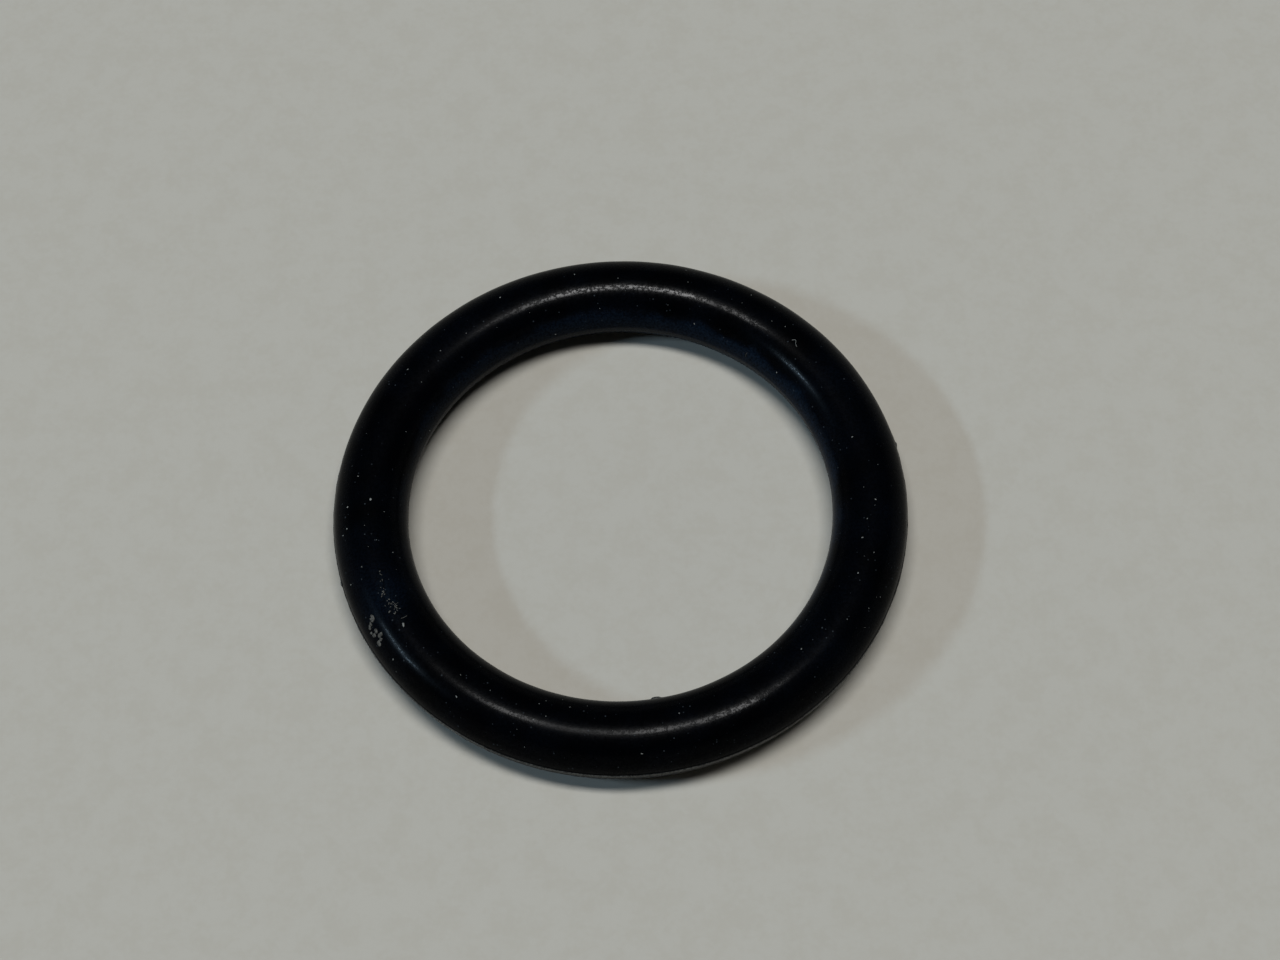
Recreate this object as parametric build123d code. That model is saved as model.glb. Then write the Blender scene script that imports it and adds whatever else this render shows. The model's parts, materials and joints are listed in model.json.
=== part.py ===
"""Moulded rubber o-ring, in millimetres.

The ring lies flat: +Z is its axis, and the origin is the ring's centre, in the
plane where the two halves of its mould met. The section is round. Both mould
halves left a thin flash where they met, on the ring's inner and outer equator,
and trimming it left a low ridge with a narrow straight land on each.
"""

import os
from math import sqrt

from build123d import *

# Driving dimensions
INNER_DIAMETER = 20.22  # across the hole, to the round section
SECTION_DIAMETER = 3.53  # thickness of the rubber
RIDGE_HEIGHT = 0.05  # how far the trimmed flash stands out of the section
RIDGE_ROOT_WIDTH = 0.30  # along the axis, where the ridge leaves the section
RIDGE_LAND_WIDTH = 0.12  # along the axis, on the ridge's straight crest
RIDGE_ROOT_RADIUS = 0.08  # hollow between the ridge's flank and the section

# Sizes that follow from them
SECTION_RADIUS = SECTION_DIAMETER / 2
CENTRE_RADIUS = INNER_DIAMETER / 2 + SECTION_RADIUS


def ridge_profile() -> Sketch:
    """Return the outer ridge's outline, from the section's middle to its land."""
    half_root = RIDGE_ROOT_WIDTH / 2
    half_land = RIDGE_LAND_WIDTH / 2
    root_x = sqrt(SECTION_RADIUS**2 - half_root**2)
    land_x = SECTION_RADIUS + RIDGE_HEIGHT
    outline = Polyline(
        (0, -half_root),
        (root_x, -half_root),
        (land_x, -half_land),
        (land_x, half_land),
        (root_x, half_root),
        (0, half_root),
        close=True,
    )
    return make_face(outline)


def section_profile() -> Sketch:
    """Return the ring's section about its own middle, ridges included."""
    outer_ridge = ridge_profile()
    inner_ridge = mirror(outer_ridge, about=Plane.YZ)
    section = Circle(SECTION_RADIUS) + outer_ridge + inner_ridge
    roots = [v for v in section.vertices() if abs(v.X) < SECTION_RADIUS]
    return fillet(roots, RIDGE_ROOT_RADIUS)


def o_ring() -> Part:
    """Return the whole ring: the section turned once about the ring's axis."""
    section = Plane.XZ * Pos(CENTRE_RADIUS, 0) * section_profile()
    return revolve(section, axis=Axis.Z, revolution_arc=360)


os.makedirs("parts", exist_ok=True)
export_step(o_ring(), "parts/o_ring.step")
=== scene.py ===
"""A moulded rubber o-ring lying on a pale table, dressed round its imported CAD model.

The ring is spun again from its section at a finer step than the CAD mesh has, with
the ragged mould line, the slight waviness and the dust that a used ring carries.
All lengths are in metres. Places on the ring are given by two angles in degrees:
"angle" runs round the ring from +X towards +Y, and "tilt" runs round the section,
from 0 on the outer edge over 90 on the crown to 180 on the inner edge.
"""

import json
import logging
import random
from dataclasses import dataclass
from enum import Enum
from math import atan2, cos, exp, hypot, pi, radians, sin, tan
from typing import NamedTuple

import bmesh
import bpy
from mathutils import Matrix, Quaternion, Vector, noise


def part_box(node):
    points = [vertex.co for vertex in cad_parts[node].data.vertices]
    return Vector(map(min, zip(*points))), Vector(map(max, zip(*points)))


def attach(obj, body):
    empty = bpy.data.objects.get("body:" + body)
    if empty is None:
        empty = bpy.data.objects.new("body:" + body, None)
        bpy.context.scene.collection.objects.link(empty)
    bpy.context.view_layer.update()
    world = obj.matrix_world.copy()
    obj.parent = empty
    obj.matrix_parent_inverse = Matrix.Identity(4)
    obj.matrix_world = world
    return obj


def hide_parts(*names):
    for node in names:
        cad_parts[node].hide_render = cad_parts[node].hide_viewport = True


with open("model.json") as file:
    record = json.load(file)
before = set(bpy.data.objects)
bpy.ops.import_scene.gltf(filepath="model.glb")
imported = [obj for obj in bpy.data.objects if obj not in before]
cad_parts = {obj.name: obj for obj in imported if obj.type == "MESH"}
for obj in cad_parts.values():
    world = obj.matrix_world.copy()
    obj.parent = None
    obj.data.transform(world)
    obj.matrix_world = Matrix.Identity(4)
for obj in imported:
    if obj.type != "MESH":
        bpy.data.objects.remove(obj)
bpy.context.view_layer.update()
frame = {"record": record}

MM = 0.001
NODE = "o_ring"
BODY = "root"
log = logging.getLogger("o_ring")


class Side(Enum):
    """The two edges on which the mould left its line."""

    INNER = -1
    OUTER = 1


class SpeckSize(Enum):
    """How wide a speck of dust is, in metres."""

    FINE = 0.045 * MM
    SMALL = 0.06 * MM
    COARSE = 0.10 * MM


class Ramp(NamedTuple):
    """A smooth step that takes one range of values to another."""

    low: float
    high: float
    to_low: float
    to_high: float


# Small helpers


def angle_of(place: Vector) -> float:
    """Return how far round the ring a point lies, in degrees from -180 to 180."""
    return atan2(place.y, place.x) * 180 / pi


def turn_from(start: float, angle: float) -> float:
    """Return the shorter turn from one angle to another, in degrees."""
    return (angle - start + 180) % 360 - 180


def new_object(name: str, mesh: bpy.types.Mesh) -> bpy.types.Object:
    """Put a mesh into the scene.

    Args:
        name: The piece's name.
        mesh: Its finished mesh, already in place.

    Returns:
        The new object, at the origin.
    """
    made = bpy.data.objects.new(name, mesh)
    bpy.context.scene.collection.objects.link(made)
    return made


def mesh_from(bm: bmesh.types.BMesh, name: str) -> bpy.types.Mesh:
    """Close a bmesh into a smooth-shaded mesh.

    Args:
        bm: The bmesh, which is freed.
        name: The mesh's name.

    Returns:
        The mesh, with its faces pointing outwards.
    """
    bmesh.ops.recalc_face_normals(bm, faces=bm.faces)
    for face in bm.faces:
        face.smooth = True
    mesh = bpy.data.meshes.new(name)
    bm.to_mesh(mesh)
    bm.free()
    return mesh


def applied(piece: bpy.types.Object) -> bpy.types.Object:
    """Turn a piece with live modifiers, or a curve, into a plain mesh piece.

    Args:
        piece: The object to settle, which is removed.

    Returns:
        A new object with the same name and the evaluated mesh.
    """
    name = piece.name
    graph = bpy.context.evaluated_depsgraph_get()
    mesh = bpy.data.meshes.new_from_object(piece.evaluated_get(graph))
    bpy.data.objects.remove(piece)
    bm = bmesh.new()
    bm.from_mesh(mesh)
    return new_object(name, mesh_from(bm, name))


# The ring's sizes


@dataclass(frozen=True)
class RingSizes:
    """The ring's own sizes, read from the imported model."""

    centre_radius: float
    section_radius: float
    ridge_height: float
    land_width: float
    root_width: float = 0.30 * MM

    @classmethod
    def from_frame(cls, record: dict) -> "RingSizes":
        """Work the sizes out from the CAD box and the two seal mounts.

        Args:
            record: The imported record.

        Returns:
            The sizes, in metres.
        """
        mounts = {m["name"]: m["dims"] for m in record["mounts"]}
        inner = mounts["inner_seal"]["r_mm"] * MM
        outer = mounts["outer_seal"]["r_mm"] * MM
        lowest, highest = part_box(NODE)
        section_radius = (highest.z - lowest.z) / 2
        return cls(
            centre_radius=(inner + outer) / 2,
            section_radius=section_radius,
            ridge_height=(outer - inner) / 2 - section_radius,
            land_width=mounts["outer_seal"]["length_mm"] * MM,
        )

    def centre(self, angle: float) -> Vector:
        """Return the section's middle at an angle round the ring."""
        turn = radians(angle)
        return Vector((cos(turn), sin(turn), 0)) * self.centre_radius

    def normal(self, angle: float, tilt: float) -> Vector:
        """Return the outward direction at a place on the section."""
        turn, lean = radians(angle), radians(tilt)
        return Vector((cos(turn) * cos(lean), sin(turn) * cos(lean), sin(lean)))

    def point(self, angle: float, tilt: float, lift: float = 0.0) -> Vector:
        """Return a point on the section's surface, or lifted clear of it."""
        return self.centre(angle) + self.normal(angle, tilt) * (self.section_radius + lift)

    def seat(self, angle: float, tilt: float, heading: float = 0.0) -> Matrix:
        """Place something on the surface.

        Args:
            angle: Degrees round the ring.
            tilt: Degrees round the section.
            heading: Degrees by which the thing is turned about the surface normal.

        Returns:
            A matrix with its origin on the surface, Z outwards and X along the ring.
        """
        up = self.normal(angle, tilt)
        turn = radians(angle)
        along = Vector((-sin(turn), cos(turn), 0))
        across = up.cross(along)
        axes = Matrix((along, across, up)).transposed().to_4x4()
        place = Matrix.Translation(self.point(angle, tilt)) @ axes
        return place @ Matrix.Rotation(radians(heading), 4, "Z")


# Shader node groups and finishes


class NodeSheet:
    """A node tree with short ways to add and join nodes."""

    def __init__(self, tree: bpy.types.NodeTree) -> None:
        """Keep the tree that nodes are added to."""
        self.tree = tree

    def add(self, kind: str, **settings: object) -> bpy.types.Node:
        """Add a node.

        Args:
            kind: The node's type, without its ShaderNode prefix.
            **settings: Properties to set on it.

        Returns:
            The node.
        """
        node = self.tree.nodes.new("ShaderNode" + kind)
        for name, value in settings.items():
            setattr(node, name, value)
        return node

    def feed(self, node: bpy.types.Node, **inputs: object) -> bpy.types.Node:
        """Set or link a node's inputs, named with _ for a space.

        Args:
            node: The node to feed.
            **inputs: A socket to link, or a value to set, for each input.

        Returns:
            The same node.
        """
        for name, value in inputs.items():
            socket = node.inputs[name.replace("_", " ")]
            if isinstance(value, bpy.types.NodeSocket):
                self.tree.links.new(value, socket)
            else:
                socket.default_value = value
        return node

    def math(self, operation: str, *values: object, clamp: bool = False) -> bpy.types.NodeSocket:
        """Add a Math node.

        Args:
            operation: The sum to do.
            *values: A socket or a number for each of its inputs.
            clamp: Whether to keep the answer from 0 to 1.

        Returns:
            Its output socket.
        """
        node = self.add("Math", operation=operation, use_clamp=clamp)
        for socket, value in zip(node.inputs, values):
            if isinstance(value, bpy.types.NodeSocket):
                self.tree.links.new(value, socket)
            else:
                socket.default_value = value
        return node.outputs[0]

    def scaled(self, vector: bpy.types.NodeSocket, factor: float) -> bpy.types.NodeSocket:
        """Return a vector times a number."""
        node = self.feed(self.add("VectorMath", operation="SCALE"), Vector=vector, Scale=factor)
        return node.outputs["Vector"]

    def noise(
        self, vector: bpy.types.NodeSocket, size_mm: float, detail: float = 2.0, rough: float = 0.5
    ) -> bpy.types.NodeSocket:
        """Add a noise texture.

        Args:
            vector: A position in millimetres.
            size_mm: How wide its blotches are.
            detail: How many finer layers it has.
            rough: How strong each finer layer is.

        Returns:
            Its value, from 0 to 1 about 0.5.
        """
        node = self.add("TexNoise")
        self.feed(node, Vector=vector, Scale=1 / size_mm, Detail=detail, Roughness=rough)
        return node.outputs[0]

    def ramp(
        self, value: bpy.types.NodeSocket, low: float, high: float, to_low: float, to_high: float
    ) -> bpy.types.NodeSocket:
        """Map a value smoothly from one range to another, and hold it there.

        Args:
            value: The value to map.
            low: Where the first range starts.
            high: Where the first range ends.
            to_low: What the start becomes.
            to_high: What the end becomes.

        Returns:
            The mapped value.
        """
        node = self.add("MapRange", interpolation_type="SMOOTHSTEP")
        self.feed(node, Value=value, From_Min=low, From_Max=high, To_Min=to_low, To_Max=to_high)
        return node.outputs["Result"]

    def mix(self, factor: object, first: object, second: object) -> bpy.types.NodeSocket:
        """Mix two colours.

        Args:
            factor: How much of the second, as a socket or a number.
            first: A colour or a colour socket.
            second: A colour or a colour socket.

        Returns:
            The mixed colour.
        """
        node = self.add("Mix", data_type="RGBA")
        for index, value in ((0, factor), (6, first), (7, second)):
            if isinstance(value, bpy.types.NodeSocket):
                self.tree.links.new(value, node.inputs[index])
            else:
                node.inputs[index].default_value = value
        return node.outputs[2]

    def place_in_mm(self) -> bpy.types.NodeSocket:
        """Return the object position in millimetres."""
        return self.scaled(self.add("TexCoord").outputs["Object"], 1 / MM)

    def group(self, tree: bpy.types.NodeTree, **inputs: object) -> bpy.types.Node:
        """Place a node group with its own values, given as feed takes them."""
        return self.feed(self.add("Group", node_tree=tree), **inputs)


def new_group(
    name: str, inputs: dict[str, str], outputs: tuple[str, ...]
) -> tuple[NodeSheet, bpy.types.Node, bpy.types.Node]:
    """Start a shader node group.

    Args:
        name: The group's name.
        inputs: Each input's name, and its type as in Vector or Float.
        outputs: The names of its float outputs.

    Returns:
        Its node sheet, its input node and its output node.
    """
    tree = bpy.data.node_groups.new(name, "ShaderNodeTree")
    for label, kind in inputs.items():
        tree.interface.new_socket(label, in_out="INPUT", socket_type="NodeSocket" + kind)
    for label in outputs:
        tree.interface.new_socket(label, in_out="OUTPUT", socket_type="NodeSocketFloat")
    sheet = NodeSheet(tree)
    return sheet, tree.nodes.new("NodeGroupInput"), tree.nodes.new("NodeGroupOutput")


def grain_group() -> bpy.types.NodeTree:
    """Build the fine grain of a matt surface.

    Returns:
        A group that takes a Position in millimetres and the grain's Size in
        millimetres, and gives a Height and a coarser Tone, both about 0.5.
    """
    tone_scale = 0.5
    inputs = {"Position": "Vector", "Size": "Float"}
    sheet, given, out = new_group("surface_grain", inputs, ("Height", "Tone"))
    scale = sheet.math("DIVIDE", 1.0, given.outputs["Size"])
    fine = sheet.add("TexNoise")
    sheet.feed(fine, Vector=given.outputs["Position"], Scale=scale, Detail=2.5, Roughness=0.6)
    coarse = sheet.add("TexNoise")
    wider = sheet.math("MULTIPLY", scale, tone_scale)
    sheet.feed(coarse, Vector=given.outputs["Position"], Scale=wider, Detail=3.0, Roughness=0.55)
    sheet.feed(out, Height=fine.outputs[0], Tone=coarse.outputs[0])
    return sheet.tree


def dust_group() -> bpy.types.NodeTree:
    """Build a scatter of dust grains too fine to model.

    Returns:
        A group that takes a Position in millimetres, the Cell width in
        millimetres and the Amount of cells that hold a grain, and gives a Mask.
    """
    least_reach, more_reach = 0.10, 0.22
    least_strength, more_strength = 0.4, 0.6
    soft_edge = Ramp(0.55, 1.0, 1.0, 0.0)
    inputs = {"Position": "Vector", "Cell": "Float", "Amount": "Float"}
    sheet, given, out = new_group("fine_dust", inputs, ("Mask",))
    cells = sheet.add("TexVoronoi")
    scale = sheet.math("DIVIDE", 1.0, given.outputs["Cell"])
    sheet.feed(cells, Vector=given.outputs["Position"], Scale=scale)
    chance = sheet.add("SeparateColor")
    sheet.feed(chance, Color=cells.outputs["Color"])
    held = sheet.math("LESS_THAN", chance.outputs[0], given.outputs["Amount"])
    reach = sheet.math("MULTIPLY_ADD", chance.outputs[1], more_reach, least_reach)
    near = sheet.math("DIVIDE", cells.outputs["Distance"], reach)
    body = sheet.ramp(near, *soft_edge)
    strength = sheet.math("MULTIPLY_ADD", chance.outputs[2], more_strength, least_strength)
    shown = sheet.math("MULTIPLY", sheet.math("MULTIPLY", body, held), strength)
    sheet.feed(out, Mask=shown)
    return sheet.tree


@dataclass(frozen=True)
class RubberFinish:
    """Black moulded rubber: a satin skin with mould marks, grain and fine dust, with a bluish
    reflection and a pale ridge sheen painted into its colour.
    """

    grain: bpy.types.NodeTree
    dust: bpy.types.NodeTree
    black: tuple = (0.0003, 0.0004, 0.0007, 1)
    # Bluish tint of the dust film and of the painted reflection of the table and side window.
    film_and_reflection: tuple = (0.0040, 0.0090, 0.0180, 1)
    # Pale grey painted along the mould-line ridges as a sheen, in place of their reflection.
    sheen_colour: tuple = (0.075, 0.076, 0.072, 1)
    dust_colour: tuple = (0.045, 0.055, 0.065, 1)
    specular_level: float = 0.02
    coat_roughness: float = 0.15
    grain_size_mm: float = 0.10
    line_width_mm: float = 0.07
    line_length_mm: float = 2.5
    line_share: float = 0.7
    bump_depth: float = 0.0025 * MM
    dust_cell_mm: float = 0.16
    dust_amount: float = 0.10
    dust_cover: float = 0.55
    dust_roughness: float = 0.3
    speckle: Ramp = Ramp(0.34, 0.66, 0.45, 1.55)
    roughness: Ramp = Ramp(0.3, 0.7, 0.25, 0.33)
    tone_share: float = 1.2
    beads: Ramp = Ramp(1.28, 1.66, 0.1, 2.1)

    def mould_lines(self, sheet: NodeSheet, place: bpy.types.NodeSocket) -> bpy.types.NodeSocket:
        """Add the fine turning marks that the mould pressed round the ring.

        Args:
            sheet: The material's nodes.
            place: The position in millimetres.

        Returns:
            Their height, from 0 to 1.
        """
        apart = sheet.feed(sheet.add("SeparateXYZ"), Vector=place)
        flat = sheet.feed(sheet.add("CombineXYZ"), X=apart.outputs[0], Y=apart.outputs[1])
        length = sheet.add("VectorMath", operation="LENGTH")
        sheet.feed(length, Vector=flat.outputs[0])
        fine = 1 / self.line_width_mm
        slow = sheet.scaled(flat.outputs[0], 1 / self.line_length_mm)
        across = sheet.add("CombineXYZ")
        sheet.feed(
            across,
            X=sheet.math("MULTIPLY", length.outputs["Value"], fine),
            Z=sheet.math("MULTIPLY", apart.outputs[2], fine),
        )
        added = sheet.add("VectorMath", operation="ADD")
        sheet.tree.links.new(across.outputs[0], added.inputs[0])
        sheet.tree.links.new(slow, added.inputs[1])
        return sheet.noise(added.outputs[0], 1.0, detail=2.0)

    def make(self) -> bpy.types.Material:
        """Build the material.

        Returns:
            The rubber material.
        """
        material = bpy.data.materials.new("black_rubber")
        material.use_nodes = True
        sheet = NodeSheet(material.node_tree)
        shader = material.node_tree.nodes["Principled BSDF"]
        place = sheet.place_in_mm()

        grain = sheet.group(self.grain, Position=place, Size=self.grain_size_mm)
        lines = self.mould_lines(sheet, place)
        dust = sheet.group(
            self.dust, Position=place, Cell=self.dust_cell_mm, Amount=self.dust_amount
        )
        # This cover is partly real dust and partly a painted bluish reflection, strongest on the
        # inner wall.
        film = sheet.add("Attribute", attribute_name="dust_and_reflection").outputs["Fac"]
        # A pale sheen painted along the mould-line ridges.
        ridge_sheen = sheet.add("Attribute", attribute_name="ridge_sheen").outputs["Fac"]
        speckle = sheet.ramp(grain.outputs["Height"], *self.speckle)
        haze_and_reflection = sheet.math("MULTIPLY", film, speckle)
        sheen_line = sheet.math("MULTIPLY", ridge_sheen, speckle, clamp=True)
        dusty = sheet.math("MULTIPLY", dust.outputs["Mask"], self.dust_cover)

        # The bluish reflection and the pale ridge sheen are painted into the base colour here.
        tint = sheet.mix(haze_and_reflection, self.black, self.film_and_reflection)
        lined = sheet.mix(sheen_line, tint, self.sheen_colour)
        sheet.feed(shader, Base_Color=sheet.mix(dusty, lined, self.dust_colour))
        worn = sheet.ramp(grain.outputs["Tone"], *self.roughness)
        rougher = sheet.math("MULTIPLY_ADD", dusty, self.dust_roughness, worn)
        sheet.feed(shader, Roughness=rougher)

        height = sheet.math("MULTIPLY_ADD", lines, self.line_share, grain.outputs["Height"])
        bump = sheet.add("Bump")
        sheet.feed(bump, Height=height, Strength=1.0, Distance=self.bump_depth)
        sheet.feed(shader, Normal=bump.outputs[0])
        shader.inputs["Specular IOR Level"].default_value = self.specular_level

        gloss = sheet.add("Attribute", attribute_name="gloss").outputs["Fac"]
        uneven = sheet.math("MULTIPLY_ADD", grain.outputs["Tone"], self.tone_share, height)
        beads = sheet.ramp(uneven, *self.beads)
        sheet.feed(shader, Coat_Weight=sheet.math("MULTIPLY", gloss, beads))
        shader.inputs["Coat Roughness"].default_value = self.coat_roughness
        return material


@dataclass(frozen=True)
class DustFinish:
    """Loose dust and lint, pale where it is single and grey where it is matted."""

    grain: bpy.types.NodeTree
    name: str = "pale_dust"
    light: tuple = (0.22, 0.23, 0.22, 1)
    dark: tuple = (0.10, 0.105, 0.10, 1)
    specular_level: float = 0.15
    grain_size_mm: float = 0.05
    bump_strength: float = 0.8
    bump_depth: float = 0.01 * MM
    patches: Ramp = Ramp(0.35, 0.65, 0.0, 1.0)
    roughness: Ramp = Ramp(0.3, 0.7, 0.8, 1.0)

    def make(self) -> bpy.types.Material:
        """Build the material.

        Returns:
            The dust material.
        """
        material = bpy.data.materials.new(self.name)
        material.use_nodes = True
        sheet = NodeSheet(material.node_tree)
        shader = material.node_tree.nodes["Principled BSDF"]
        grain = sheet.group(self.grain, Position=sheet.place_in_mm(), Size=self.grain_size_mm)
        height = grain.outputs["Height"]
        patches = sheet.ramp(grain.outputs["Tone"], *self.patches)
        sheet.feed(shader, Base_Color=sheet.mix(patches, self.dark, self.light))
        sheet.feed(shader, Roughness=sheet.ramp(height, *self.roughness))
        bump = sheet.add("Bump")
        sheet.feed(bump, Height=height, Strength=self.bump_strength, Distance=self.bump_depth)
        sheet.feed(shader, Normal=bump.outputs[0])
        shader.inputs["Specular IOR Level"].default_value = self.specular_level
        return material


@dataclass(frozen=True)
class TableFinish:
    """The plain pale table: painted board with a barely visible mottle."""

    pale: tuple = (0.412, 0.400, 0.358, 1)
    shade: tuple = (0.398, 0.383, 0.338, 1)
    roughness: float = 0.85
    specular_level: float = 0.1
    cloud_size_mm: float = 1.6
    fine_size_mm: float = 0.35
    cloud_share: float = 0.65
    fine_share: float = 0.35
    mottle: Ramp = Ramp(0.36, 0.60, 1.0, 0.0)

    def make(self) -> bpy.types.Material:
        """Build the material, which can't be seen from below.

        Returns:
            The table material.
        """
        material = bpy.data.materials.new("pale_table")
        material.use_nodes = True
        sheet = NodeSheet(material.node_tree)
        shader = material.node_tree.nodes["Principled BSDF"]
        place = sheet.place_in_mm()
        cloudy = sheet.noise(place, self.cloud_size_mm, detail=4.0, rough=0.6)
        fine = sheet.noise(place, self.fine_size_mm, detail=2.0)
        clouds = sheet.math("MULTIPLY", cloudy, self.cloud_share)
        tone = sheet.math("MULTIPLY_ADD", fine, self.fine_share, clouds)
        soft = sheet.ramp(tone, *self.mottle)
        sheet.feed(shader, Base_Color=sheet.mix(soft, self.pale, self.shade))
        shader.inputs["Roughness"].default_value = self.roughness
        shader.inputs["Specular IOR Level"].default_value = self.specular_level
        clear = sheet.add("BsdfTransparent")
        facing = sheet.add("NewGeometry")
        either = sheet.add("MixShader")
        sheet.tree.links.new(facing.outputs["Backfacing"], either.inputs[0])
        sheet.tree.links.new(shader.outputs[0], either.inputs[1])
        sheet.tree.links.new(clear.outputs[0], either.inputs[2])
        output = material.node_tree.nodes["Material Output"]
        sheet.tree.links.new(either.outputs[0], output.inputs["Surface"])
        return material


# The ring


@dataclass(frozen=True)
class Scrap:
    """A scrap of flash that the trimming left standing on a mould line."""

    angle: float
    side: Side
    width: float
    height: float


@dataclass(frozen=True)
class Film:
    """A patch on the rubber: settled dust in some places, a painted bluish reflection in others.
    """

    angle: float
    tilt: float
    reach: float
    strength: float


@dataclass(frozen=True)
class Polish:
    """A stretch of skin that handling rubbed smoother than the rest."""

    angle: float
    tilt: float
    half_turn: float
    half_tilt: float
    strength: float


@dataclass
class MouldedRing:
    """The rubber ring, spun from its section and then made as uneven as a real one."""

    sizes: RingSizes
    steps_round: int = 640
    steps_over: int = 62
    steps_up_ridge: int = 3
    merge_distance: float = 0.0005 * MM
    wave_height: float = 0.006 * MM
    wave_length: float = 4.0 * MM
    peel_height: float = 0.007 * MM
    peel_length: float = 1.2 * MM
    scraps: tuple[Scrap, ...] = (
        Scrap(277, Side.INNER, 0.30 * MM, 0.20 * MM),
        Scrap(279.5, Side.INNER, 0.16 * MM, 0.10 * MM),
        Scrap(194, Side.OUTER, 0.12 * MM, 0.05 * MM),
        Scrap(11.7, Side.OUTER, 0.12 * MM, 0.05 * MM),
    )
    slow_waves: float = 5
    ragged_waves: float = 38
    least_trim: float = 0.12
    middle_trim: float = 0.78
    slow_trim: float = 0.4
    ragged_trim: float = 0.35
    inner_share: float = 0.16
    # Where the painted ridge sheen starts, how fast it grows, and how much the inner ridge gets.
    sheen_start: float = 0.35
    sheen_span: float = 0.4
    inner_sheen: float = 0.55
    # Patches of settled dust, and patches of painted bluish reflection of the side window's light.
    films: tuple[Film, ...] = (
        Film(205, 80, 1.0 * MM, 0.18),
        Film(197, 58, 3.0 * MM, 0.09),
        Film(350, 55, 2.0 * MM, 0.06),
        Film(23, 121, 3.0 * MM, 0.06),
        Film(317, 81, 2.5 * MM, 0.05),
        Film(129, 104, 3.0 * MM, 0.04),
    )
    film_patch: float = 1.6 * MM
    thin_film: float = 0.02
    patchy_film: float = 0.05
    # A painted bluish reflection of the table and side window on the inner wall, brightest where
    # the wall faces the window.
    film_and_reflection: float = 0.40
    reflection_swing: float = 0.28
    reflection_middle: float = 25
    reflection_edge: float = 150
    reflection_fade: float = 3
    reflection_rag: float = 10
    dull: float = 0.014
    dull_swing: float = 0.8
    dull_patch: float = 3 * MM
    polished: tuple[Polish, ...] = (
        Polish(71, 106, 5, 14, 0.100),
        Polish(78, 106, 4.5, 14, 0.035),
        Polish(87, 106, 13, 14, 0.105),
        Polish(100, 105, 7, 14, 0.085),
        Polish(111, 107, 5, 14, 0.020),
        Polish(55, 108, 5, 12, 0.072),
        Polish(230, 78, 7, 12, 0.008),
        Polish(244, 79, 5, 10, 0.026),
        Polish(275, 79, 5, 12, 0.031),
        Polish(284, 78, 5, 12, 0.010),
        Polish(295, 76, 10, 12, 0.060),
        Polish(41.3, 125, 6.5, 3.5, 0.118),
        Polish(218, 60.5, 5, 3.5, 0.0095),
    )

    def outline(self, bm: bmesh.types.BMesh) -> None:
        """Draw the section in the XZ plane, with a ridge on either edge.

        Args:
            bm: An empty bmesh, which is given the closed outline.
        """
        sizes = self.sizes
        centre = Vector((sizes.centre_radius, 0, 0))
        half_root = sizes.root_width / 2
        lean = atan2(half_root, (sizes.section_radius**2 - half_root**2) ** 0.5)
        root = Vector((cos(lean), 0, sin(lean))) * sizes.section_radius
        first = bm.verts.new(centre + root)
        arc = bmesh.ops.spin(
            bm, geom=[first], cent=centre, axis=(0, -1, 0),
            angle=pi - 2 * lean, steps=self.steps_over,
        )
        last = next(g for g in arc["geom_last"] if isinstance(g, bmesh.types.BMVert))
        straights = []
        for start, way in ((first, 1), (last, -1)):
            crest_x = centre.x + way * (sizes.section_radius + sizes.ridge_height)
            corner = bm.verts.new((crest_x, 0, sizes.land_width / 2))
            middle = bm.verts.new((crest_x, 0, 0))
            straights.append(bm.edges.new((start, corner)))
            straights.append(bm.edges.new((corner, middle)))
        bmesh.ops.subdivide_edges(bm, edges=straights, cuts=self.steps_up_ridge - 1)
        everything = bm.verts[:] + bm.edges[:]
        bmesh.ops.mirror(bm, geom=everything, axis="Z", merge_dist=self.merge_distance)

    def ridge_share(self, place: Vector) -> float:
        """Return how far up a ridge a point of the true section lies, from 0 to 1."""
        out = hypot(hypot(place.x, place.y) - self.sizes.centre_radius, place.z)
        return max(0.0, out - self.sizes.section_radius) / self.sizes.ridge_height

    def trimmed_height(self, angle: float, side: Side) -> float:
        """Work out how high the trimmed flash stands.

        Args:
            angle: Degrees round the ring.
            side: The mould line that it is on.

        Returns:
            Its height above the section, in metres.
        """
        turn = radians(angle)
        spot = Vector((cos(turn), sin(turn), side.value * 0.7))
        slow = self.slow_trim * noise.noise(spot * self.slow_waves)
        ragged = self.ragged_trim * noise.noise(spot * self.ragged_waves + Vector((0, 0, 9)))
        height = self.sizes.ridge_height * max(self.least_trim, self.middle_trim + slow + ragged)
        height *= self.inner_share if side is Side.INNER else 1
        radius = self.sizes.centre_radius + side.value * self.sizes.section_radius
        for scrap in self.scraps:
            away = radians(turn_from(scrap.angle, angle)) * radius / scrap.width
            if scrap.side is side:
                height += scrap.height * exp(-(away**4))
        return height

    def roughen(self, bm: bmesh.types.BMesh) -> None:
        """Move every vertex of the true ring to where the real surface lies.

        Args:
            bm: The spun ring.
        """
        sizes = self.sizes
        for vert in bm.verts:
            place = vert.co.copy()
            angle = angle_of(place) % 360
            middle = sizes.centre(angle)
            out = place - middle
            side = Side.OUTER if hypot(place.x, place.y) > sizes.centre_radius else Side.INNER
            share = self.ridge_share(place)
            radius = min(out.length, sizes.section_radius)
            radius += share * self.trimmed_height(angle, side)
            radius += self.wave_height * noise.noise(place / self.wave_length)
            radius += self.peel_height * noise.noise(place / self.peel_length)
            vert.co = middle + out.normalized() * radius

    def tilt_of(self, place: Vector) -> float:
        """Return how far round the section a point lies, in degrees from -90 to 270."""
        out = hypot(place.x, place.y) - self.sizes.centre_radius
        return (atan2(place.z, out) * 180 / pi + 90) % 360 - 90

    def rank(self, place: Vector) -> float:
        """Number a place by its half step round the ring, and within that by its tilt."""
        return round(angle_of(place) / 180 * self.steps_round) * 1000 + self.tilt_of(place)

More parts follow.
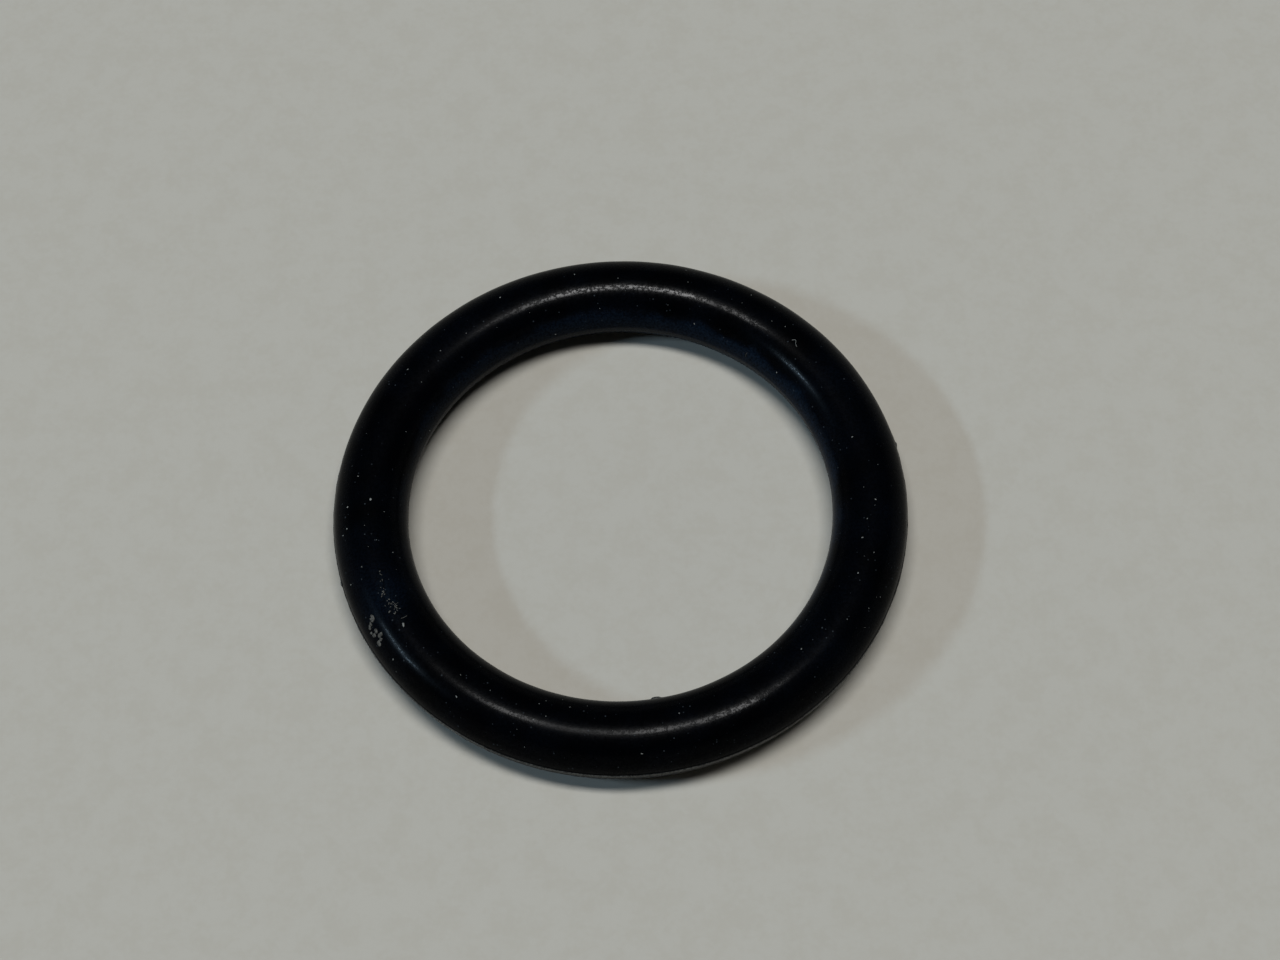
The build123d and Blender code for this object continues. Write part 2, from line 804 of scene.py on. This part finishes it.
    def put_in_order(self, bm: bmesh.types.BMesh) -> None:
        """Sort the ring's parts, because the operators leave them in no set order.

        Args:
            bm: The finished ring.
        """
        bm.verts.sort(key=lambda vert: self.rank(vert.co))
        bm.edges.sort(key=lambda edge: self.rank((edge.verts[0].co + edge.verts[1].co) / 2))
        bm.faces.sort(key=lambda face: self.rank(face.calc_center_median()))

    def ridge_sheen_at(self, place: Vector) -> float:
        """Work out how strongly a pale sheen is painted along the mould-line ridge.

        Args:
            place: A point of the surface.

        Returns:
            Its strength, from 0 to 1.
        """
        past = max(0.0, self.ridge_share(place) - self.sheen_start)
        ridge_sheen = min(1.0, past / self.sheen_span)
        inside = hypot(place.x, place.y) < self.sizes.centre_radius
        return ridge_sheen * (self.inner_sheen if inside else 1.0)

    def film_at(self, place: Vector) -> float:
        """Work out how thickly dust lies and how strongly a bluish reflection is painted, which is
        most on the inner wall.

        Args:
            place: A point of the surface.

        Returns:
            Their cover, from 0 to 1.
        """
        patchy = noise.fractal(place / self.film_patch, 1.0, 2.0, 4)
        # Paint the bluish reflection on the inner wall, brightest where it faces the side window.
        past = (self.tilt_of(place) - self.reflection_edge + self.reflection_rag * patchy) / self.reflection_fade
        film_and_reflection = self.film_and_reflection + self.reflection_swing * cos(radians(angle_of(place) - self.reflection_middle))
        cover = self.thin_film + self.patchy_film * patchy + film_and_reflection / (1 + exp(-past))
        for film in self.films:
            away = (place - self.sizes.point(film.angle, film.tilt)).length / film.reach
            cover += film.strength * exp(-(away**2))
        return min(1.0, max(0.0, cover))

    def gloss_at(self, place: Vector) -> float:
        """Work out how much of the skin is smooth.

        Args:
            place: A point of the surface.

        Returns:
            The smooth share, from 0 to 1.
        """
        angle, tilt = angle_of(place), self.tilt_of(place)
        gloss = self.dull * (1 + self.dull_swing * noise.noise(place / self.dull_patch))
        for patch in self.polished:
            along = turn_from(patch.angle, angle) / patch.half_turn
            over = (tilt - patch.tilt) / patch.half_tilt
            gloss += patch.strength * exp(-(along**2) - over**2)
        return gloss

    def build(self, material: bpy.types.Material) -> bpy.types.Object:
        """Spin, roughen and dress the ring.

        Args:
            material: The rubber.

        Returns:
            The finished piece.
        """
        bm = bmesh.new()
        self.outline(bm)
        bmesh.ops.spin(
            bm, geom=bm.verts[:] + bm.edges[:], cent=(0, 0, 0), axis=(0, 0, 1),
            angle=2 * pi, steps=self.steps_round, use_merge=True,
        )
        self.roughen(bm)
        self.put_in_order(bm)
        mesh = mesh_from(bm, "rubber_ring")
        # Per-point covers: dust with a painted bluish reflection, a painted ridge sheen, and the
        # smooth share of the skin.
        worn = {"dust_and_reflection": self.film_at, "ridge_sheen": self.ridge_sheen_at, "gloss": self.gloss_at}
        for name, value_at in worn.items():
            layer = mesh.attributes.new(name, "FLOAT", "POINT")
            layer.data.foreach_set("value", [value_at(v.co) for v in mesh.vertices])
        mesh.materials.append(material)
        piece = new_object("rubber_ring", mesh)
        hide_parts(NODE)
        return piece


# Dust and lint


@dataclass
class SettledDust:
    """The dust, crumbs and lint that lie on the ring."""

    sizes: RingSizes
    seed: int = 11
    fine_count: int = 45
    fine_widths: tuple[float, float] = (0.02 * MM, 0.04 * MM)
    fine_tilts: tuple[float, float, float] = (5, 175, 90)
    fine_stretch: tuple[float, float] = (1, 1.8)
    speck_stretch: tuple[float, float] = (1.0, 2.0)
    speck_spread: tuple[float, float] = (0.85, 1.1)
    flatness: float = 0.55
    lump_height: float = 0.55
    lump_waves: float = 2.2
    specks: tuple[tuple[float, float, SpeckSize], ...] = (
        (12, 105, SpeckSize.SMALL), (40, 153, SpeckSize.SMALL), (57, 63, SpeckSize.FINE),
        (67, 149, SpeckSize.SMALL), (88, 91, SpeckSize.FINE), (98, 75, SpeckSize.FINE),
        (106, 173, SpeckSize.FINE), (116, 75, SpeckSize.SMALL), (144, 76, SpeckSize.SMALL),
        (153, 172, SpeckSize.FINE), (173, 72, SpeckSize.SMALL), (179, 95, SpeckSize.COARSE),
        (180, 57, SpeckSize.COARSE), (185, 54, SpeckSize.SMALL), (186, 44, SpeckSize.SMALL),
        (195, 67, SpeckSize.FINE), (197, 37, SpeckSize.SMALL), (216, 38, SpeckSize.SMALL),
        (232, 62, SpeckSize.SMALL), (249, 107, SpeckSize.FINE), (249, 80, SpeckSize.SMALL),
        (256, 115, SpeckSize.FINE), (272, 46, SpeckSize.SMALL), (281, 98, SpeckSize.SMALL),
        (313, 97, SpeckSize.SMALL), (330, 52, SpeckSize.FINE), (336, 90, SpeckSize.SMALL),
        (342, 77, SpeckSize.SMALL), (345, 99, SpeckSize.SMALL), (350, 96, SpeckSize.FINE),
        (355, 85, SpeckSize.SMALL), (212, 85, SpeckSize.COARSE),
    )
    clump_chain: tuple[tuple[float, float], ...] = (
        (206.4, 49), (206.5, 45), (207.0, 41), (207.5, 36), (208.6, 31), (209.0, 36), (209.0, 42),
        (210.2, 46), (211.0, 42), (211.3, 35),
    )
    clump_heap: int = 3
    clump_spread: tuple[float, float] = (0.4, 2)
    clump_widths_mm: tuple[float, float] = (0.09, 0.19)
    clump_stretch: float = 1.4
    clump_voxel: float = 0.02 * MM
    smear_count: int = 30
    smear_middle: tuple[float, float] = (206.8, 86)
    smear_spread: tuple[float, float] = (1.1, 5)
    trail_count: int = 16
    trail_start: tuple[float, float] = (197.4, 93.4)
    trail_run: tuple[float, float] = (6.4, -13.1)
    trail_spread: float = 1.5
    crumb_widths_mm: tuple[float, float] = (0.025, 0.06)
    crumb_stretch: tuple[float, float] = (1, 2.5)

    def add_crumb(
        self,
        bm: bmesh.types.BMesh,
        place: Matrix,
        width: float,
        stretch: float,
        draw: random.Random,
    ) -> None:
        """Add one irregular grain that sits half sunk in its seat.

        Args:
            bm: The bmesh that it is added to.
            place: Where it sits, with Z outwards.
            width: Its width, in metres.
            stretch: How many times longer it is than wide.
            draw: The source of its unevenness.
        """
        shape = Matrix.Diagonal((width * stretch / 2, width / 2, width * self.flatness / 2, 1))
        made = bmesh.ops.create_icosphere(bm, subdivisions=2, radius=1, matrix=place @ shape)
        middle = place.translation
        seed = Vector((draw.random(), draw.random(), draw.random())) * 50
        for vert in made["verts"]:
            out = vert.co - middle
            lump = noise.noise(out / width * self.lump_waves + seed)
            vert.co = middle + out * (1 + self.lump_height * lump)

    def build_specks(self) -> bpy.types.Object:
        """Lay the single specks.

        Returns:
            All specks as one piece.
        """
        draw = random.Random(self.seed)
        bm = bmesh.new()
        for angle, tilt, size in self.specks:
            stretch = draw.uniform(*self.speck_stretch)
            place = self.sizes.seat(angle, tilt, draw.uniform(0, 180))
            width = size.value * draw.uniform(*self.speck_spread)
            self.add_crumb(bm, place, width, stretch, draw)
        for _ in range(self.fine_count):
            angle = draw.uniform(0, 360)
            tilt = draw.triangular(*self.fine_tilts)
            place = self.sizes.seat(angle, tilt, draw.uniform(0, 180))
            width = draw.uniform(*self.fine_widths)
            self.add_crumb(bm, place, width, draw.uniform(*self.fine_stretch), draw)
        return new_object("dust_specks", mesh_from(bm, "dust_specks"))

    def build_clump(self) -> bpy.types.Object:
        """Heap crumbs into the clump of fluff on the outer flank.

        Returns:
            The clump as one closed piece.
        """
        draw = random.Random(self.seed + 1)
        bm = bmesh.new()
        along, over = self.clump_spread
        for angle, tilt in self.clump_chain:
            for _ in range(self.clump_heap):
                turned = angle + draw.uniform(-along, along)
                leant = tilt + draw.uniform(-over, over)
                place = self.sizes.seat(turned, leant, draw.uniform(0, 180))
                width = draw.uniform(*self.clump_widths_mm) * MM
                self.add_crumb(bm, place, width, self.clump_stretch, draw)
        piece = new_object("dust_clump", mesh_from(bm, "dust_clump"))
        skin = piece.modifiers.new("skin", "REMESH")
        skin.mode = "VOXEL"
        skin.voxel_size = self.clump_voxel
        return applied(piece)

    def build_crumbs(self) -> bpy.types.Object:
        """Scatter the small crumbs that fell from the clump.

        Returns:
            The crumbs as one piece.
        """
        draw = random.Random(self.seed + 2)
        bm = bmesh.new()
        places = []
        for _ in range(self.smear_count):
            pairs = zip(self.smear_middle, self.smear_spread)
            places.append(tuple(draw.gauss(middle, spread) for middle, spread in pairs))
        for share in [draw.random() for _ in range(self.trail_count)]:
            angle, tilt = (a + run * share for a, run in zip(self.trail_start, self.trail_run))
            places.append((angle, tilt + draw.gauss(0, self.trail_spread)))
        for angle, tilt in places:
            place = self.sizes.seat(angle, tilt, draw.uniform(0, 180))
            width = draw.uniform(*self.crumb_widths_mm) * MM
            self.add_crumb(bm, place, width, draw.uniform(*self.crumb_stretch), draw)
        return new_object("dust_crumbs", mesh_from(bm, "dust_crumbs"))

    def build_fibre(
        self, name: str, angle: float, tilt: float, path: tuple, thickness: float
    ) -> bpy.types.Object:
        """Lay one lint fibre along the surface.

        Args:
            name: The piece's name.
            angle: Degrees round the ring of its start.
            tilt: Degrees round the section of its start.
            path: Its points, each as millimetres along the ring, round the
                section and clear of the rubber.
            thickness: Its diameter, in metres.

        Returns:
            The fibre as a closed mesh.
        """
        curve = bpy.data.curves.new(name, "CURVE")
        curve.dimensions = "3D"
        curve.bevel_depth = thickness / 2
        curve.bevel_resolution = 2
        curve.resolution_u = 6
        curve.use_fill_caps = True
        spline = curve.splines.new("NURBS")
        spline.points.add(len(path) - 1)
        for point, (along, over, lift) in zip(spline.points, path):
            turned = angle + along * MM / self.sizes.centre_radius * 180 / pi
            leant = tilt + over * MM / self.sizes.section_radius * 180 / pi
            spot = self.sizes.point(turned, leant, lift * MM + thickness / 2)
            point.co = (*spot, 1)
        spline.order_u = 3
        spline.use_endpoint_u = True
        piece = bpy.data.objects.new(name, curve)
        bpy.context.scene.collection.objects.link(piece)
        return applied(piece)

    def build(
        self, single: bpy.types.Material, matted: bpy.types.Material
    ) -> list[bpy.types.Object]:
        """Lay all of the dust and dress it.

        Args:
            single: What the specks and the lint are dressed in.
            matted: What the clump and its crumbs are dressed in.

        Returns:
            The pieces.
        """
        hook = ((0.24, -0.02, 0.01), (0.13, -0.15, 0.04), (0.03, -0.10, 0.05), (-0.03, 0.02, 0.03),
                (-0.19, 0.07, 0.0))
        short = ((0, -0.14, 0.0), (0.05, 0, 0.03), (0.02, 0.15, 0.0))
        dressed = {
            self.build_specks(): single,
            self.build_clump(): matted,
            self.build_crumbs(): matted,
            self.build_fibre("lint_hook", 40.9, 96.2, hook, 0.02 * MM): single,
            self.build_fibre("lint_short", 50.3, 161, short, 0.025 * MM): matted,
            self.build_fibre("lint_flank", 210.5, 92.3, short, 0.03 * MM): matted,
        }
        for piece, material in dressed.items():
            piece.data.materials.append(material)
        return list(dressed)


# The table, the lamps and the camera


@dataclass(frozen=True)
class Table:
    """The round table that the ring lies on, which curves up far away."""

    height: float
    flat_radius: float = 0.8
    cove_radius: float = 0.4
    steps_round: int = 128
    steps_up: int = 16
    merge_distance: float = 0.001 * MM

    def build(self, material: bpy.types.Material) -> bpy.types.Object:
        """Spin the table from its outline.

        Args:
            material: The table's finish.

        Returns:
            The table, which is no part of the object.
        """
        bm = bmesh.new()
        middle = bm.verts.new((0, 0, self.height))
        rim = bm.verts.new((self.flat_radius, 0, self.height))
        bm.edges.new((middle, rim))
        turn_about = (self.flat_radius, 0, self.height + self.cove_radius)
        bmesh.ops.spin(
            bm, geom=[rim], cent=turn_about, axis=(0, -1, 0), angle=pi / 2, steps=self.steps_up
        )
        bmesh.ops.spin(
            bm, geom=bm.verts[:] + bm.edges[:], cent=(0, 0, 0), axis=(0, 0, 1),
            angle=2 * pi, steps=self.steps_round, use_merge=True,
        )
        bmesh.ops.remove_doubles(bm, verts=bm.verts, dist=self.merge_distance)
        mesh = mesh_from(bm, "table")
        if mesh.polygons[0].normal.z < 0:
            mesh.flip_normals()
        mesh.materials.append(material)
        table = new_object("table", mesh)
        return table


@dataclass(frozen=True)
class Lamp:
    """A soft lamp, placed by direction and by how much it lights the table."""

    name: str
    azimuth: float
    elevation: float
    distance: float
    width_angle: float
    height_angle: float
    level: float
    turn: float = 0.0
    colour: tuple[float, float, float] = (1.0, 1.0, 1.0)

    def build(self) -> bpy.types.Object:
        """Hang the lamp.

        Returns:
            The lamp, pointing at the origin.
        """
        data = bpy.data.lights.new(self.name, "AREA")
        data.shape = "RECTANGLE"
        data.size = 2 * self.distance * tan(radians(self.width_angle))
        data.size_y = 2 * self.distance * tan(radians(self.height_angle))
        facing = sin(radians(self.elevation))
        data.energy = self.level * pi**2 * self.distance**2 / facing
        data.color = self.colour
        turn, rise = radians(self.azimuth), radians(self.elevation)
        away = Vector((cos(turn) * cos(rise), sin(turn) * cos(rise), sin(rise)))
        lamp = bpy.data.objects.new(self.name, data)
        lamp.location = away * self.distance
        lamp.rotation_mode = "QUATERNION"
        spun = Quaternion((0, 0, 1), radians(self.turn))
        lamp.rotation_quaternion = away.to_track_quat("Z", "Y") @ spun
        bpy.context.scene.collection.objects.link(lamp)
        return lamp


@dataclass(frozen=True)
class Studio:
    """The lamps, the dim room round them and the camera."""

    lamps: tuple[Lamp, ...] = (
        Lamp("overhead_lamp", 270, 89.2, 2.0, 18, 5.5, 0.885, turn=-9.5),
        Lamp("side_window", 187.6, 34.0, 2.0, 5.0, 1.2, 0.166, colour=(0.57, 0.79, 1.0)),
    )
    room: tuple = (0.003, 0.0033, 0.004, 1)
    elevation: float = 62.604
    distance: float = 126.63 * MM
    lens: float = 74.73
    sensor_width: float = 36
    nearest: float = 0.01
    farthest: float = 10
    roll: float = 2.674
    aim_right: float = 0.936 * MM
    aim_up: float = 1.368 * MM

    def light(self) -> None:
        """Hang the lamps and dim the room."""
        for lamp in self.lamps:
            lamp.build()
        world = bpy.data.worlds.new("room")
        world.use_nodes = True
        world.node_tree.nodes["Background"].inputs["Color"].default_value = self.room
        bpy.context.scene.world = world
        bpy.context.scene.view_settings.view_transform = "Standard"

    def place_camera(self) -> bpy.types.Object:
        """Stand the camera where it looks down on the ring.

        Returns:
            The camera.
        """
        rise, turn = radians(self.elevation), radians(self.roll)
        back = Vector((0, -cos(rise), sin(rise)))
        level, up = Vector((1, 0, 0)), Vector((0, sin(rise), cos(rise)))
        right = level * cos(turn) - up * sin(turn)
        top = level * sin(turn) + up * cos(turn)
        stand = back * self.distance
        aim = right * self.aim_right + top * self.aim_up
        behind = (stand - aim).normalized()
        right = (right - behind * right.dot(behind)).normalized()
        axes = Matrix((right, behind.cross(right), behind)).transposed().to_4x4()
        data = bpy.data.cameras.new("camera")
        data.lens = self.lens
        data.sensor_width = self.sensor_width
        data.clip_start = self.nearest
        data.clip_end = self.farthest
        camera = bpy.data.objects.new("camera", data)
        camera.matrix_world = Matrix.Translation(stand) @ axes
        bpy.context.scene.collection.objects.link(camera)
        bpy.context.scene.camera = camera
        return camera


def report(pieces: list[bpy.types.Object]) -> None:
    """Log each piece with its face count.

    Args:
        pieces: The pieces to report.
    """
    for piece in pieces:
        log.info("%s: %d faces", piece.name, len(piece.data.polygons))


def main() -> None:
    """Build the ring, its dust, the table, the lamps and the camera."""
    logging.basicConfig(level=logging.INFO, format="%(message)s")
    studio = Studio()
    studio.place_camera()
    studio.light()

    sizes = RingSizes.from_frame(frame["record"])
    grain, dust = grain_group(), dust_group()
    ring = MouldedRing(sizes).build(RubberFinish(grain, dust).make())
    matted = DustFinish(grain, "grey_dust", (0.09, 0.09, 0.082, 1), (0.035, 0.035, 0.032, 1))
    settled = SettledDust(sizes).build(DustFinish(grain).make(), matted.make())
    pieces = [ring, *settled]
    for piece in pieces:
        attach(piece, BODY)
    report(pieces)

    lowest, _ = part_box(NODE)
    Table(lowest.z).build(TableFinish().make())


if __name__ == "__main__":
    main()
